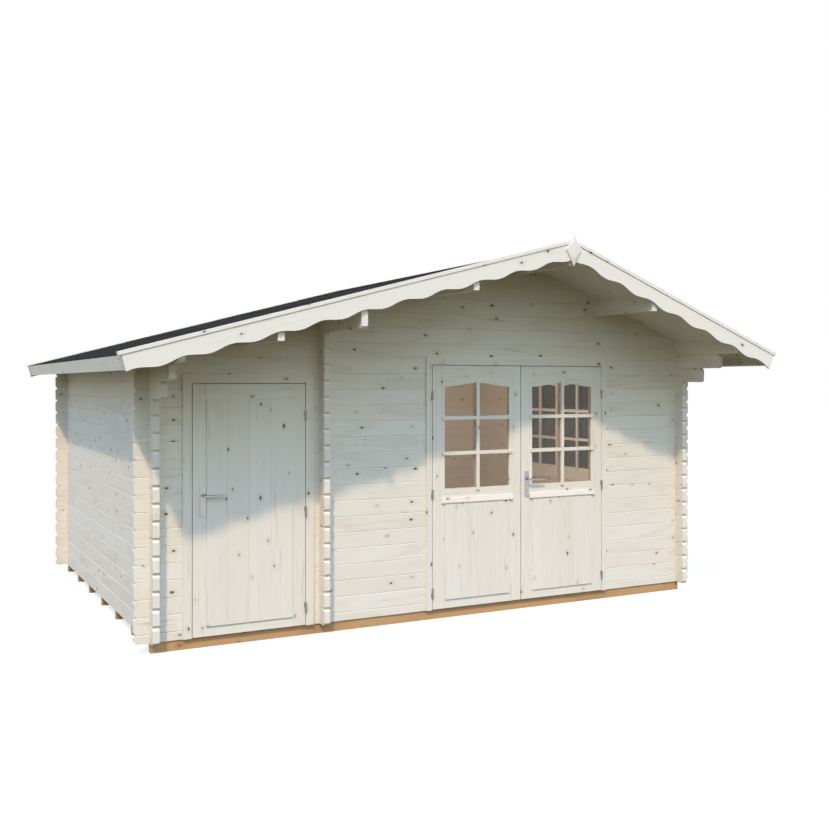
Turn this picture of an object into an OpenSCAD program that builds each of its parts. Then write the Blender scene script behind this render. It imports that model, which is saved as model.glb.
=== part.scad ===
// Garden cabin of interlocking logs: a store room and a main room side by side under
// one off-centre ridge roof, which reaches far forward over the doors.
// Lengths are in millimetres. X runs to the right, Y to the back and Z up.
// Inside the modules X is counted from the left wall's outer face, Y from the front
// wall's outer face and Z from the underside of the walls; cabin_frame() moves each
// piece to the part's own origin, the middle of its base on the ground.

/* [Cabin] */
// Width over the outer faces of the side walls
cabin_w = 4490; // [4300:10:4900]
// Length over the outer faces of the front and back walls
cabin_l = 3560; // [3300:10:4200]
// Left wall's outer face to the partition's left face
partition_x = 1185; // [1165:5:1260]

/* [Logs] */
// Height that one log covers
log_h = 115; // [113:1:118]
// Thickness of a wall log
wall_t = 44; // [34:1:50]
// Reach of the log ends past the wall that they cross
log_over = 100; // [60:5:140]
// Chamfer on the corners of the log ends
end_chamfer = 17; // [6:1:22]
// Depth of the V groove between two logs
groove_d = 4; // [2:0.5:6]
// Reach of each stepped log past the one below it
step_over = 222; // [180:2:250]

/* [Foundation and floor] */
// Width of a foundation beam
beam_w = 48; // [40:1:60]
// Height of a foundation beam
beam_h = 72; // [50:1:90]
// Foundation beams inside the walls' outer faces
beam_in = 10; // [0:1:30]
// Thickness of the floor boards
floor_t = 18; // [14:1:24]

/* [Roof] */
// Store door's frame to the roof's underside at the left wall's outer face, upwards
roof_over_door = 171; // [150:1:200]
// Left wall's outer face to the ridge
ridge_x = 2835; // [2600:5:2950]
// Slope of the left roof side in degrees
left_pitch = 15.1; // [14:0.1:16]
// Slope of the right roof side in degrees
right_pitch = 21.7; // [20:0.1:23]
// Level reach of the roof boards past the side walls
roof_over = 305; // [240:5:360]
// Reach of the roof boards past the back wall
back_over = 120; // [110:5:250]
// Roof boards past the ends of the longest stepped logs
canopy_gap = 4; // [1:1:20]
// Thickness of the roof boards
deck_t = 18; // [15:1:24]
// Thickness of the roofing felt
felt_t = 3; // [2:0.5:5]
// Thickness of the purlins
purlin_t = 44; // [38:1:70]
// Height of the purlins at their middle
purlin_h = 140; // [110:2:160]
// Left wall's outer face to the middle of the store room's purlin
store_purlin_x = 641; // [560:5:700]
// Left wall's outer face to the middle of the purlin left of the ridge
left_purlin_x = 2044; // [1900:5:2150]
// Left wall's outer face to the middle of the purlin right of the ridge
right_purlin_x = 3602; // [3450:5:3750]

/* [Roof edges] */
// Thickness of the fascia boards
fascia_t = 18; // [14:1:24]
// Height of the eave boards
eave_board_h = 90; // [70:2:110]
// Middle height of the gable boards
gable_board_h = 108; // [96:1:124]
// Half the height of the waves along the front gable boards
wave_d = 12; // [6:0.5:16]
// Length of one wave
wave_pitch = 300; // [240:2:360]
// Thickness of the cover strips on the roof's front edge
cap_t = 23; // [16:1:28]
// Thickness of the cover strips on the roof's back edge
back_cap_t = 8; // [6:1:16]
// Reach of the cover strips past the face of the gable boards
cap_out = 6; // [2:1:12]
// Reach of the cover strips past the ends of the gable boards
cap_side = 18; // [4:1:40]
// Width of the cover strips that lies on the felt
cap_in = 22; // [10:1:40]
// Thickness of the diamond at the ridge
diamond_t = 18; // [13:1:26]
// Height of the diamond
diamond_h = 238; // [200:2:280]
// Width of the diamond
diamond_w = 130; // [100:2:160]
// Diamond's top corner over the cover strips' ridge
diamond_up = 44; // [20:1:60]

/* [Door frames] */
// Front of the frames and the doors in front of the wall's face
frame_out = 16; // [8:1:24]
// Back of the door frames behind the wall's inner face
frame_in = 16; // [6:1:24]
// Height of the frames' top members
head_h = 60; // [50:1:80]
// Height of the sills
sill_h = 20; // [12:1:24]
// Width of the stop behind the doors
stop_w = 20; // [12:1:28]
// Clearance around the doors
door_gap = 5; // [5:0.5:7]
// Wall's underside to the bottom of the doors, which hang in front of the sills
door_low = 5; // [5:0.5:12]

/* [Store door] */
// Left wall's outer face to the left side of the store door's frame
store_frame_x = 215; // [190:5:240]
// Width over the store door's frame
store_frame_w = 924; // [860:2:940]
// Height of the store door's frame
store_frame_h = 1775; // [1700:5:1840]
// Width of its side members
store_jamb_w = 60; // [44:1:72]
// Width of the door's stiles
store_stile_w = 92; // [80:1:110]
// Height of the door's top rail
store_rail_h = 105; // [80:1:130]

/* [Double door] */
// Left wall's outer face to the middle of the double door
room_door_x = 2866; // [2800:2:2880]
// Width over the double door's frame
room_frame_w = 1664; // [1560:4:1700]
// Top of the double door's frame over the top of the store door's frame
room_frame_up = 139; // [60:1:160]
// Width of its side members
room_jamb_w = 46; // [40:1:60]
// Gap between the two doors
meeting_gap = 8; // [8:0.5:10]
// Width of the doors' stiles
room_stile_w = 102; // [84:1:120]
// Height of the doors' top rails under the frame
room_rail_h = 162; // [140:1:180]
// Wall's underside to the bottom of the glass
room_glass_z = 912; // [880:2:960]
// Rise of the arched top of the glass
arch_h = 31; // [16:1:40]
// Wall's underside to the underside of the weather bar
weather_bar_z = 802; // [780:2:820]
// Height of the weather bar
weather_bar_h = 44; // [30:1:60]
// Reach of the weather bar in front of the door
weather_bar_d = 16; // [13:1:36]
// Weather bar's ends inside the door's sides
weather_bar_in = 75; // [40:1:110]

/* [Doors] */
// Thickness of the doors
door_t = 40; // [36:1:44]
// Thickness of the boarded panels
panel_t = 22; // [16:1:26]
// Boarded panel's face in front of the door's face
panel_out = 9; // [4:1:12]
// Wall's underside to the bottom of the boarded panels
panel_z = 72; // [60:1:90]
// Thickness of the glass
glass_t = 4; // [3:0.5:6]

/* [Hinges] */
// Radius of the hinge barrels
barrel_r = 7.5; // [6:0.1:9]
// Radius of the hinge pins
pin_r = 4; // [3:0.1:4.5]
// Clearance between a pin and its bore
pin_fit = 0.08; // [0.05:0.01:0.1]
// Clearance between a barrel and the door
barrel_gap = 0.5; // [0.4:0.1:1]
// Height of a hinge
hinge_h = 70; // [60:1:90]
// Hinge's axis to the edge of the strip that seats it on the wood
plate_w = 10; // [9:0.5:20]
// Thickness of that strip
plate_t = 2.5; // [2:0.1:3.5]
// Wall's underside to the middle of the lowest hinge
hinge_low = 130; // [120:1:160]
// Door's top to the middle of the top hinge
hinge_down = 225; // [160:5:260]

/* [Door handles] */
// Wall's underside to the handle's axis
lever_z = 955; // [935:1:975]
// Store door's edge to its handle's axis
store_lever_in = 68; // [50:1:72]
// Right double door's edge to its handle's axis
room_lever_in = 50; // [42:1:56]
// Length of the handle from its axis
lever_l = 140; // [100:1:145]
// Radius of the handle
lever_r = 9; // [8:0.1:11]
// Radius of the handle's neck
neck_r = 7.5; // [6.5:0.1:7.8]
// Handle's middle in front of its plate
lever_out = 38; // [30:1:45]
// Radius of the spindle in the door
spindle_r = 6; // [4:0.1:5.6]
// Width of the handle's plate
lever_plate_w = 38; // [34:1:44]
// Height of the handle's plate
lever_plate_h = 205; // [180:1:230]
// Thickness of the handle's plate
lever_plate_t = 5; // [4:0.5:8]
// Handle's axis to the keyhole's axis
key_down = 72; // [60:1:92]
// Radius of the lock cylinder
key_r = 8.5; // [7:0.1:11]

/* [Side window] */
// Front wall's outer face to the middle of the window
window_y = 1834; // [1600:2:2000]
// Width over the window's frame
window_w = 1440; // [1200:4:1560]
// Height over the window's frame
window_h = 1045; // [900:5:1060]
// Wall's underside to the bottom of the window's frame
window_z = 755; // [700:5:800]
// Width of the frame's members
window_frame_w = 50; // [40:1:64]
// Reach of the window's frame past the wall's faces
window_out = 10; // [4:1:16]
// Thickness of the casements
casement_t = 40; // [34:1:44]
// Gap between the two casements
casement_gap = 4; // [1:0.5:6]
// Width of the casements' stiles
casement_stile_w = 52; // [44:1:64]
// Height of the casements' bottom rails
casement_rail_h = 75; // [50:1:90]
// Height of the casements' top rails
casement_top_h = 60; // [50:1:80]

/* [Hidden] */
$fn = 48;

// Colours
wood = "burlywood";
dark_wood = "tan";
beam_brown = "peru";
steel = "silver";

// Heights that follow the store door's
left_wall_h = store_frame_h + roof_over_door;
room_frame_h = store_frame_h + room_frame_up;

// Roof: u runs up a slope from the wall's outer top edge, w stands square to the slope;
// lay_gap is the clearance between its layers
lay_gap = 0.05;
ridge_z = left_wall_h + ridge_x * tan(left_pitch);
right_wall_h = ridge_z - (cabin_w - ridge_x) * tan(right_pitch);
ridge_bend = (left_pitch + right_pitch) / 2;
canopy_logs = 3;
canopy_reach = log_over + canopy_logs * step_over;
roof_front = canopy_reach + canopy_gap;
roof_back = cabin_l + back_over;
eave_left_u = -roof_over / cos(left_pitch);
eave_right_u = -roof_over / cos(right_pitch);
board_left_u = eave_left_u - lay_gap - fascia_t;
board_right_u = eave_right_u - lay_gap - fascia_t;
deck_top = lay_gap + deck_t;
felt_low = deck_top + lay_gap;
roof_w = felt_low + felt_t;
cap_low = roof_w + lay_gap;
cap_top = cap_low + cap_t;
back_cap_top = cap_low + back_cap_t;
front_board_y = [-roof_front - fascia_t, -roof_front];
back_board_y = [roof_back, roof_back + fascia_t];
board_joint = 1;
purlin_xs = [store_purlin_x, left_purlin_x, ridge_x, right_purlin_x];

function left_point(u, w) = [
    u * cos(left_pitch) - w * sin(left_pitch),
    left_wall_h + u * sin(left_pitch) + w * cos(left_pitch)];
function right_point(u, w) = [
    cabin_w - u * cos(right_pitch) + w * sin(right_pitch),
    right_wall_h + u * sin(right_pitch) + w * cos(right_pitch)];
function left_ridge_u(w) = ridge_x / cos(left_pitch) + w * tan(ridge_bend);
function right_ridge_u(w) = (cabin_w - ridge_x) / cos(right_pitch) + w * tan(ridge_bend);
function under_z(x) = x < ridge_x
    ? left_wall_h + x * tan(left_pitch)
    : ridge_z - (x - ridge_x) * tan(right_pitch);
function purlin_z(x) = under_z(x) - purlin_h;

// Logs: a log wall starts with a whole log, or with half of one where it crosses others
left_rows = ceil(left_wall_h / log_h);
right_rows = ceil(right_wall_h / log_h);
partition_rows = floor(purlin_z(partition_x + wall_t / 2) / log_h) + 1;
max_rows = ceil(ridge_z / log_h);
whole_joints = [for (k = [1 : max_rows]) k * log_h];
half_joints = [for (k = [0 : max_rows]) (k + 0.5) * log_h];

// Foundation
beam_count = 7;
beam_pitch = (cabin_l - 2 * beam_in - beam_w) / (beam_count - 1);

// Door frames: [left side, right side, top, width of a side member]
store_frame = [store_frame_x, store_frame_x + store_frame_w, store_frame_h, store_jamb_w];
room_frame = [room_door_x - room_frame_w / 2, room_door_x + room_frame_w / 2,
    room_frame_h, room_jamb_w];
frame_y = [-frame_out, wall_t + frame_in];
door_y = [-frame_out, door_t - frame_out];
panel_y = [door_y[0] - panel_out, door_y[0] - panel_out + panel_t];
glass_y = [(door_y[0] + door_y[1] - glass_t) / 2, (door_y[0] + door_y[1] + glass_t) / 2];

// Doors: the sides of each leaf and its top
store_door_x = [store_frame[0] + store_jamb_w + door_gap, store_frame[1] - store_jamb_w - door_gap];
store_door_top = store_frame_h - head_h - door_gap;
left_leaf_x = [room_frame[0] + room_jamb_w + door_gap, room_door_x - meeting_gap / 2];
right_leaf_x = [room_door_x + meeting_gap / 2, room_frame[1] - room_jamb_w - door_gap];
room_door_top = room_frame_h - head_h - door_gap;
room_glass_top = room_frame_h - head_h - room_rail_h - door_gap;
weather_slope = weather_bar_h / 4;

// Hinges: each axis stands in the middle of the gap beside its door, clear of its face
pin_y = door_y[0] - barrel_r - barrel_gap;
store_pin_x = store_door_x[1] + door_gap / 2;
left_pin_x = left_leaf_x[0] - door_gap / 2;
right_pin_x = right_leaf_x[1] + door_gap / 2;
bearing_gap = 0.3;
barrel_end = 4;

// Handles
store_lever_x = store_door_x[0] + store_lever_in;
room_lever_x = right_leaf_x[0] + room_lever_in;
lever_fit = 0.1;
lever_seat = 0.5;
plate_up = 65;
key_out = 2;

// Window: the faces of its frame, casements and glass, from the outside to the inside
window_x = [cabin_w - wall_t - window_out, cabin_w + window_out];
casement_x = [window_x[1] - casement_t, window_x[1]];
window_glass_x = [(casement_x[0] + casement_x[1] - glass_t) / 2,
    (casement_x[0] + casement_x[1] + glass_t) / 2];
window_y0 = window_y - window_w / 2;
window_y1 = window_y + window_w / 2;
sash_z = [window_z + window_frame_w, window_z + window_h - window_frame_w];
sash_ys = [
    [window_y0 + window_frame_w, window_y - casement_gap / 2],
    [window_y + casement_gap / 2, window_y1 - window_frame_w]];

// The part's origin: the middle of the whole outline, on the ground
outline_x = [
    left_point(board_left_u - cap_side, cap_top)[0],
    right_point(board_right_u - cap_side, cap_top)[0]];
outline_y = [-roof_front - fascia_t - diamond_t, roof_back + fascia_t + cap_out];
origin_x = (outline_x[0] + outline_x[1]) / 2;
origin_y = (outline_y[0] + outline_y[1]) / 2;

module cabin_frame() {
    translate([-origin_x, -origin_y, beam_h]) children();
}

// A box between two places on each axis
module block(x, y, z) {
    translate([x[0], y[0], z[0]]) cube([x[1] - x[0], y[1] - y[0], z[1] - z[0]]);
}

// An outline in X and Z, as thick as y says
module upright_xz(y, points) {
    translate([0, y[1], 0])
        rotate([90, 0, 0])
            linear_extrude(y[1] - y[0]) polygon(points);
}

// An outline in Y and Z, as thick as x says
module upright_yz(x, points) {
    translate([x[0], 0, 0])
        rotate([90, 0, 90])
            linear_extrude(x[1] - x[0]) polygon(points);
}

// All that lies under the roof boards
module under_roof() {
    reach = 2 * roof_over;
    upright_xz([-2 * roof_front, 2 * roof_back], [
        [-reach, 0],
        [cabin_w + reach, 0],
        [cabin_w + reach, under_z(cabin_w + reach)],
        [ridge_x, ridge_z],
        [-reach, under_z(-reach)]]);
}

// Section of a log wall: a V groove on both faces at every joint
function log_section(joints) = concat(
    [[0, 0]],
    [for (z = joints) each [[0, z - groove_d], [groove_d, z], [0, z + groove_d]]],
    [[0, 2 * ridge_z], [wall_t, 2 * ridge_z]],
    [for (k = [len(joints) - 1 : -1 : 0]) each [
        [wall_t, joints[k] + groove_d],
        [wall_t - groove_d, joints[k]],
        [wall_t, joints[k] - groove_d]]],
    [[wall_t, 0]]);

// Outline of stacked logs: fronts lists each row's front end, levels its bottom and top
function stack_outline(fronts, levels, back) = concat(
    [for (k = [0 : len(fronts) - 1]) each concat(
        k == 0 || fronts[k] != fronts[k - 1] ? [[fronts[k] + end_chamfer, levels[k]]] : [],
        [[fronts[k], levels[k] + end_chamfer],
        [fronts[k], levels[k + 1] - end_chamfer],
        [fronts[k] + end_chamfer, levels[k + 1]]])],
    [[back - end_chamfer, levels[len(fronts)]]],
    [for (k = [len(fronts) - 1 : -1 : 0]) each [
        [back, levels[k + 1] - end_chamfer],
        [back, levels[k] + end_chamfer],
        [back - end_chamfer, levels[k]]]]);

// A wall that runs to the back, with log ends at both ends and its last rows stepping forward
module lengthwise_wall(x, rows, first_step) {
    fronts = [for (k = [0 : rows - 1])
        -log_over - max(0, k - first_step + 1) * step_over * (first_step == rows - 1 ? canopy_logs : 1)];
    levels = [for (k = [0 : rows]) k < rows ? k * log_h : ridge_z];
    intersection() {
        upright_yz([x, x + wall_t], stack_outline(fronts, levels, cabin_l + log_over));
        translate([x + wall_t, 0, 0])
            mirror([1, 0, 0])
                upright_xz([-2 * roof_front, 2 * roof_back],
                    log_section([for (k = [1 : rows - 1]) k * log_h]));
        under_roof();
    }
}

// A stretch of a wall that runs across, from y to the back by its thickness
module crosswise_wall(x, y, z) {
    intersection() {
        translate([0, y, 0]) upright_yz(x, log_section(half_joints));
        block(x, [y, y + wall_t], z);
        under_roof();
    }
}

// A purlin from the canopy's front to the back, its top cut to the roof's slope
module purlin(x, bottom) {
    intersection() {
        block([x - purlin_t / 2, x + purlin_t / 2], [-canopy_reach, cabin_l + log_over],
            [bottom, 2 * ridge_z]);
        under_roof();
    }
}

module foundation_beams() {
    color(beam_brown)
        for (k = [0 : beam_count - 1])
            translate([beam_in, beam_in + k * beam_pitch, -beam_h])
                cube([cabin_w - 2 * beam_in, beam_w, beam_h]);
}

module floor_boards() {
    color(dark_wood)
        difference() {
            for (x = [[wall_t, partition_x], [partition_x + wall_t, cabin_w - wall_t]])
                block(x, [wall_t, cabin_l - wall_t], [0, floor_t]);
            for (f = [store_frame, room_frame])
                block([f[0], f[1]], frame_y, [-1, f[2]]);
        }
}

module left_wall() {
    color(wood) lengthwise_wall(0, left_rows, left_rows - canopy_logs);
}

module right_wall() {
    color(wood)
        difference() {
            lengthwise_wall(cabin_w - wall_t, right_rows, right_rows - canopy_logs);
            block([cabin_w - 2 * wall_t, cabin_w + wall_t], [window_y0, window_y1],
                [window_z, window_z + window_h]);
        }
}

module partition_wall() {
    color(wood) lengthwise_wall(partition_x, partition_rows, partition_rows - 1);
}

module front_wall_store() {
    color(wood) {
        crosswise_wall([wall_t, store_frame[0]], 0, [0, store_frame_h]);
        crosswise_wall([store_frame[1], partition_x], 0, [0, store_frame_h]);
    }
}

module front_wall_room() {
    color(wood) {
        crosswise_wall([partition_x + wall_t, room_frame[0]], 0, [0, room_frame_h]);
        crosswise_wall([room_frame[1], cabin_w - wall_t], 0, [0, room_frame_h]);
    }
}

// Notches that the purlins lie in, through the wall at y
module purlin_notches(y) {
    for (x = purlin_xs)
        block([x - purlin_t / 2, x + purlin_t / 2], [y - 1, y + wall_t + 1],
            [purlin_z(x), 2 * ridge_z]);
}

module front_gable_store() {
    color(wood)
        difference() {
            crosswise_wall([wall_t, partition_x], 0, [store_frame_h, ridge_z]);
            purlin_notches(0);
        }
}

module front_gable_room() {
    color(wood)
        difference() {
            crosswise_wall([partition_x + wall_t, cabin_w - wall_t], 0, [room_frame_h, ridge_z]);
            purlin_notches(0);
        }
}

module back_wall_store() {
    color(wood)
        difference() {
            crosswise_wall([wall_t, partition_x], cabin_l - wall_t, [0, ridge_z]);
            purlin_notches(cabin_l - wall_t);
        }
}

module back_wall_room() {
    color(wood)
        difference() {
            crosswise_wall([partition_x + wall_t, cabin_w - wall_t], cabin_l - wall_t, [0, ridge_z]);
            purlin_notches(cabin_l - wall_t);
        }
}

// Ends of the front and back walls' logs, outside a side wall
module log_end_stack(y) {
    levels = concat([0], half_joints);
    fronts = [for (k = [0 : len(levels) - 2]) -log_over];
    intersection() {
        difference() {
            upright_xz([y, y + wall_t], stack_outline(fronts, levels, wall_t));
            block([0, 2 * wall_t], [y - 1, y + wall_t + 1], [-1, 2 * ridge_z]);
        }
        translate([0, y, 0]) upright_yz([-log_over, 0], log_section(half_joints));
    }
}

module corner_log_ends() {
    color(wood)
        intersection() {
            for (y = [0, cabin_l - wall_t]) {
                log_end_stack(y);
                translate([cabin_w, 0, 0]) mirror([1, 0, 0]) log_end_stack(y);
            }
            under_roof();
        }
}

module roof_purlins() {
    color(wood)
        for (x = purlin_xs)
            purlin(x, purlin_z(x));
}

module roof_deck_left() {
    color(wood)
        upright_xz([-roof_front, roof_back], [
            left_point(eave_left_u, lay_gap),
            left_point(left_ridge_u(lay_gap), lay_gap),
            left_point(left_ridge_u(deck_top), deck_top),
            left_point(eave_left_u, deck_top)]);
}

module roof_deck_right() {
    color(wood)
        upright_xz([-roof_front, roof_back], [
            right_point(eave_right_u, lay_gap),
            right_point(eave_right_u, deck_top),
            right_point(right_ridge_u(deck_top) - lay_gap, deck_top),
            right_point(right_ridge_u(lay_gap) - lay_gap, lay_gap)]);
}

module roof_felt() {
    color("dimgray")
        upright_xz([-roof_front, roof_back], [
            left_point(board_left_u, felt_low),
            left_point(left_ridge_u(felt_low), felt_low),
            right_point(board_right_u, felt_low),
            right_point(board_right_u, roof_w),
            left_point(left_ridge_u(roof_w), roof_w),
            left_point(board_left_u, roof_w)]);
}

module eave_boards() {
    color(dark_wood) {
        upright_xz([-roof_front, roof_back], [
            left_point(board_left_u, deck_top - eave_board_h),
            left_point(board_left_u + fascia_t, deck_top - eave_board_h),
            left_point(board_left_u + fascia_t, deck_top),
            left_point(board_left_u, deck_top)]);
        upright_xz([-roof_front, roof_back], [
            right_point(board_right_u, deck_top),
            right_point(board_right_u + fascia_t, deck_top),
            right_point(board_right_u + fascia_t, deck_top - eave_board_h),
            right_point(board_right_u, deck_top - eave_board_h)]);
    }
}

// Lower edge of a waved board: s runs down the slope from the ridge
wave_steps = 8;
left_wave_start = 70;
right_wave_start = 48;
function wave_w(s, start) = roof_w - gable_board_h
    - wave_d * cos(360 * (s - start) / wave_pitch);
function wave_places(length) =
    [for (s = [wave_pitch / wave_steps : wave_pitch / wave_steps : length - 1]) s];

module front_gable_board_left() {
    end_u = board_left_u;
    length = left_ridge_u(0) - end_u;
    foot = wave_w(0, left_wave_start);
    color(wood)
        upright_xz(front_board_y, concat(
            [left_point(end_u, roof_w), left_point(end_u, wave_w(length, left_wave_start))],
            [for (s = [for (p = wave_places(length)) length - p])
                if (s > wave_pitch / wave_steps)
                    left_point(left_ridge_u(0) - s, wave_w(s, left_wave_start))],
            [left_point(left_ridge_u(foot), foot), left_point(left_ridge_u(roof_w), roof_w)]));
}

module front_gable_board_right() {
    end_u = board_right_u;
    length = right_ridge_u(0) - end_u;
    foot = wave_w(0, right_wave_start);
    color(wood)
        upright_xz(front_board_y, concat(
            [right_point(end_u, wave_w(length, right_wave_start)), right_point(end_u, roof_w)],
            [right_point(right_ridge_u(roof_w), roof_w), right_point(right_ridge_u(foot), foot)],
            [for (s = wave_places(length))
                if (s > wave_pitch / wave_steps)
                    right_point(right_ridge_u(0) - s, wave_w(s, right_wave_start))]));
}

module back_gable_boards() {
    foot = roof_w - gable_board_h;
    color(wood)
        difference() {
            upright_xz(back_board_y, [
                left_point(board_left_u, roof_w),
                left_point(board_left_u, foot),
                left_point(left_ridge_u(foot), foot),
                right_point(board_right_u, foot),
                right_point(board_right_u, roof_w),
                left_point(left_ridge_u(roof_w), roof_w)]);
            block([ridge_x - board_joint / 2, ridge_x + board_joint / 2],
                [roof_back - 1, roof_back + fascia_t + 1], [0, 2 * ridge_z]);
        }
}

// Front and back cover strips: the places of each across the edge, and its top
caps = [
    [[-roof_front - fascia_t - cap_out, -roof_front + cap_in], cap_top],
    [[roof_back - cap_in, roof_back + fascia_t + cap_out], back_cap_top]];

module cover_strips_left() {
    end_u = board_left_u - cap_side;
    color(wood)
        for (cap = caps)
            upright_xz(cap[0], [
                left_point(end_u, cap_low),
                left_point(left_ridge_u(cap_low), cap_low),
                left_point(left_ridge_u(cap[1]), cap[1]),
                left_point(end_u, cap[1])]);
}

module cover_strips_right() {
    end_u = board_right_u - cap_side;
    color(wood)
        for (cap = caps)
            upright_xz(cap[0], [
                right_point(end_u, cap_low),
                right_point(end_u, cap[1]),
                right_point(right_ridge_u(cap[1]), cap[1]),
                right_point(right_ridge_u(cap_low), cap_low)]);
}

module ridge_diamond() {
    peak = left_point(left_ridge_u(cap_top), cap_top);
    x = peak[0];
    top = peak[1] + diamond_up;
    color(wood)
        difference() {
            upright_xz([-roof_front - fascia_t - diamond_t, -roof_front - fascia_t], [
                [x, top],
                [x - diamond_w / 2, top - diamond_h / 2],
                [x, top - diamond_h],
                [x + diamond_w / 2, top - diamond_h / 2]]);
            cover_strips_left();
            cover_strips_right();
        }
}

// A door frame: two side members and a head with a stop behind the door, and a sill behind it
module door_frame(f) {
    stop_y = door_y[1] + door_gap;
    inner = [f[0] + f[3], f[1] - f[3]];
    difference() {
        block([f[0], f[1]], frame_y, [0, f[2]]);
        block(inner, [frame_y[0] - 1, stop_y], [-1, f[2] - head_h]);
        block([inner[0] + stop_w, inner[1] - stop_w], [frame_y[0] - 1, frame_y[1] + 1],
            [sill_h, f[2] - head_h - stop_w]);
    }
}

module store_door_frame() {
    color(wood) door_frame(store_frame);
}

module room_door_frame() {
    color(wood) door_frame(room_frame);
}

// Heights of a door's three hinges
function hinge_zs(top) = [hinge_low, (hinge_low + top - hinge_down) / 2, top - hinge_down];

// Lower half of a hinge: barrel, pin and the strip on the frame, away from the door
module hinge_on_frame(x, z, door_side) {
    plate_x = door_side > 0 ? [x - plate_w, x] : [x, x + plate_w];
    translate([x, pin_y, z - hinge_h / 2]) cylinder(h = hinge_h / 2 - bearing_gap / 2, r = barrel_r);
    translate([x, pin_y, z - hinge_h / 2]) cylinder(h = hinge_h - 2 * barrel_end, r = pin_r);
    block(plate_x, [door_y[0] - plate_t, door_y[0]], [z - hinge_h / 2, z - bearing_gap / 2]);
}

// Upper half of a hinge: bored barrel and the strip on the door
module hinge_on_door(x, z, door_side) {
    plate_x = door_side > 0 ? [x, x + plate_w] : [x - plate_w, x];
    difference() {
        union() {
            translate([x, pin_y, z + bearing_gap / 2])
                cylinder(h = hinge_h / 2 - bearing_gap / 2, r = barrel_r);
            block(plate_x, [door_y[0] - plate_t, door_y[0]], [z + bearing_gap / 2, z + hinge_h / 2]);
        }
        translate([x, pin_y, z - 1])
            cylinder(h = hinge_h / 2 - barrel_end + 1, r = pin_r + pin_fit);
    }
}

module door_hinge_pins() {
    color(steel) {
        for (z = hinge_zs(store_door_top)) hinge_on_frame(store_pin_x, z, -1);
        for (z = hinge_zs(room_door_top)) {
            hinge_on_frame(left_pin_x, z, 1);
            hinge_on_frame(right_pin_x, z, -1);
        }
    }
}

module store_door_hinges() {
    color(steel)
        for (z = hinge_zs(store_door_top)) hinge_on_door(store_pin_x, z, -1);
}

module room_door_left_hinges() {
    color(steel)
        for (z = hinge_zs(room_door_top)) hinge_on_door(left_pin_x, z, 1);
}

module room_door_right_hinges() {
    color(steel)
        for (z = hinge_zs(room_door_top)) hinge_on_door(right_pin_x, z, -1);
}

// Outline with an arched top that swings up to its middle; the first axis runs across
arch_steps = 12;
function arched_outline(a, b, bottom, top) = concat(
    [[a, bottom], [b, bottom]],
    [for (k = [arch_steps : -1 : -arch_steps])
        [(a + b) / 2 + k / arch_steps * (b - a) / 2,
        top + arch_h * (1 + cos(180 * k / arch_steps)) / 2]]);

module spindle_hole(x) {
    translate([x, door_y[0] - 1, lever_z])
        rotate([-90, 0, 0]) cylinder(h = door_t + 2, r = spindle_r + 2);
}

store_panel_x = [store_door_x[0] + store_stile_w, store_door_x[1] - store_stile_w];
store_panel_z = [panel_z, store_door_top - store_rail_h];

module store_door() {
    color(wood)
        difference() {
            block(store_door_x, door_y, [door_low, store_door_top]);
            block(store_panel_x, [door_y[0] - 1, door_y[1] + 1], store_panel_z);
            spindle_hole(store_lever_x);
        }
}

module store_door_panel() {
    color(wood) block(store_panel_x, panel_y, store_panel_z);
}

function inside_stiles(x) = [x[0] + room_stile_w, x[1] - room_stile_w];

module glazed_door(x) {
    difference() {
        block(x, door_y, [door_low, room_door_top]);
        block(inside_stiles(x), [door_y[0] - 1, door_y[1] + 1], [panel_z, weather_bar_z]);
        room_pane(x, [door_y[0] - 1, door_y[1] + 1]);
    }
}

module room_pane(x, y) {
    pane_x = inside_stiles(x);
    upright_xz(y, arched_outline(pane_x[0], pane_x[1], room_glass_z, room_glass_top));
}

module weather_bar(x) {
    front = door_y[0] - weather_bar_d;
    upright_yz([x[0] + weather_bar_in, x[1] - weather_bar_in], [
        [door_y[0], weather_bar_z],
        [door_y[0], weather_bar_z + weather_bar_h],
        [door_y[0] - weather_slope, weather_bar_z + weather_bar_h],
        [front, weather_bar_z + weather_slope],
        [front, weather_bar_z]]);
}

module room_door_left() {
    color(wood) glazed_door(left_leaf_x);
}

module room_door_left_panel() {
    color(wood) block(inside_stiles(left_leaf_x), panel_y, [panel_z, weather_bar_z]);
}

module room_door_left_glass() {
    color("lightblue", 0.4) room_pane(left_leaf_x, glass_y);
}

module room_door_left_weather_bar() {
    color(wood) weather_bar(left_leaf_x);
}

module room_door_right() {
    color(wood)
        difference() {
            glazed_door(right_leaf_x);
            spindle_hole(room_lever_x);
        }
}

module room_door_right_panel() {
    color(wood) block(inside_stiles(right_leaf_x), panel_y, [panel_z, weather_bar_z]);
}

module room_door_right_glass() {
    color("lightblue", 0.4) room_pane(right_leaf_x, glass_y);
}

module room_door_right_weather_bar() {
    color(wood) weather_bar(right_leaf_x);
}

// One handle plate against the door at y, reaching away by side
module handle_plate(x, y, side) {
    near = min(y, y + side * lever_plate_t);
    difference() {
        union() {
            block([x - lever_plate_w / 2, x + lever_plate_w / 2], [near, near + lever_plate_t],
                [lever_z + plate_up - lever_plate_h, lever_z + plate_up]);
            translate([x, near - (side < 0 ? key_out : 0), lever_z - key_down])
                rotate([-90, 0, 0]) cylinder(h = lever_plate_t + key_out, r = key_r);
        }
        translate([x, near - 1, lever_z])
            rotate([-90, 0, 0]) cylinder(h = lever_plate_t + 2, r = neck_r + lever_fit);
    }
}

module handle_plates(x) {
    handle_plate(x, door_y[0], -1);
    handle_plate(x, door_y[1], 1);
}

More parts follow.
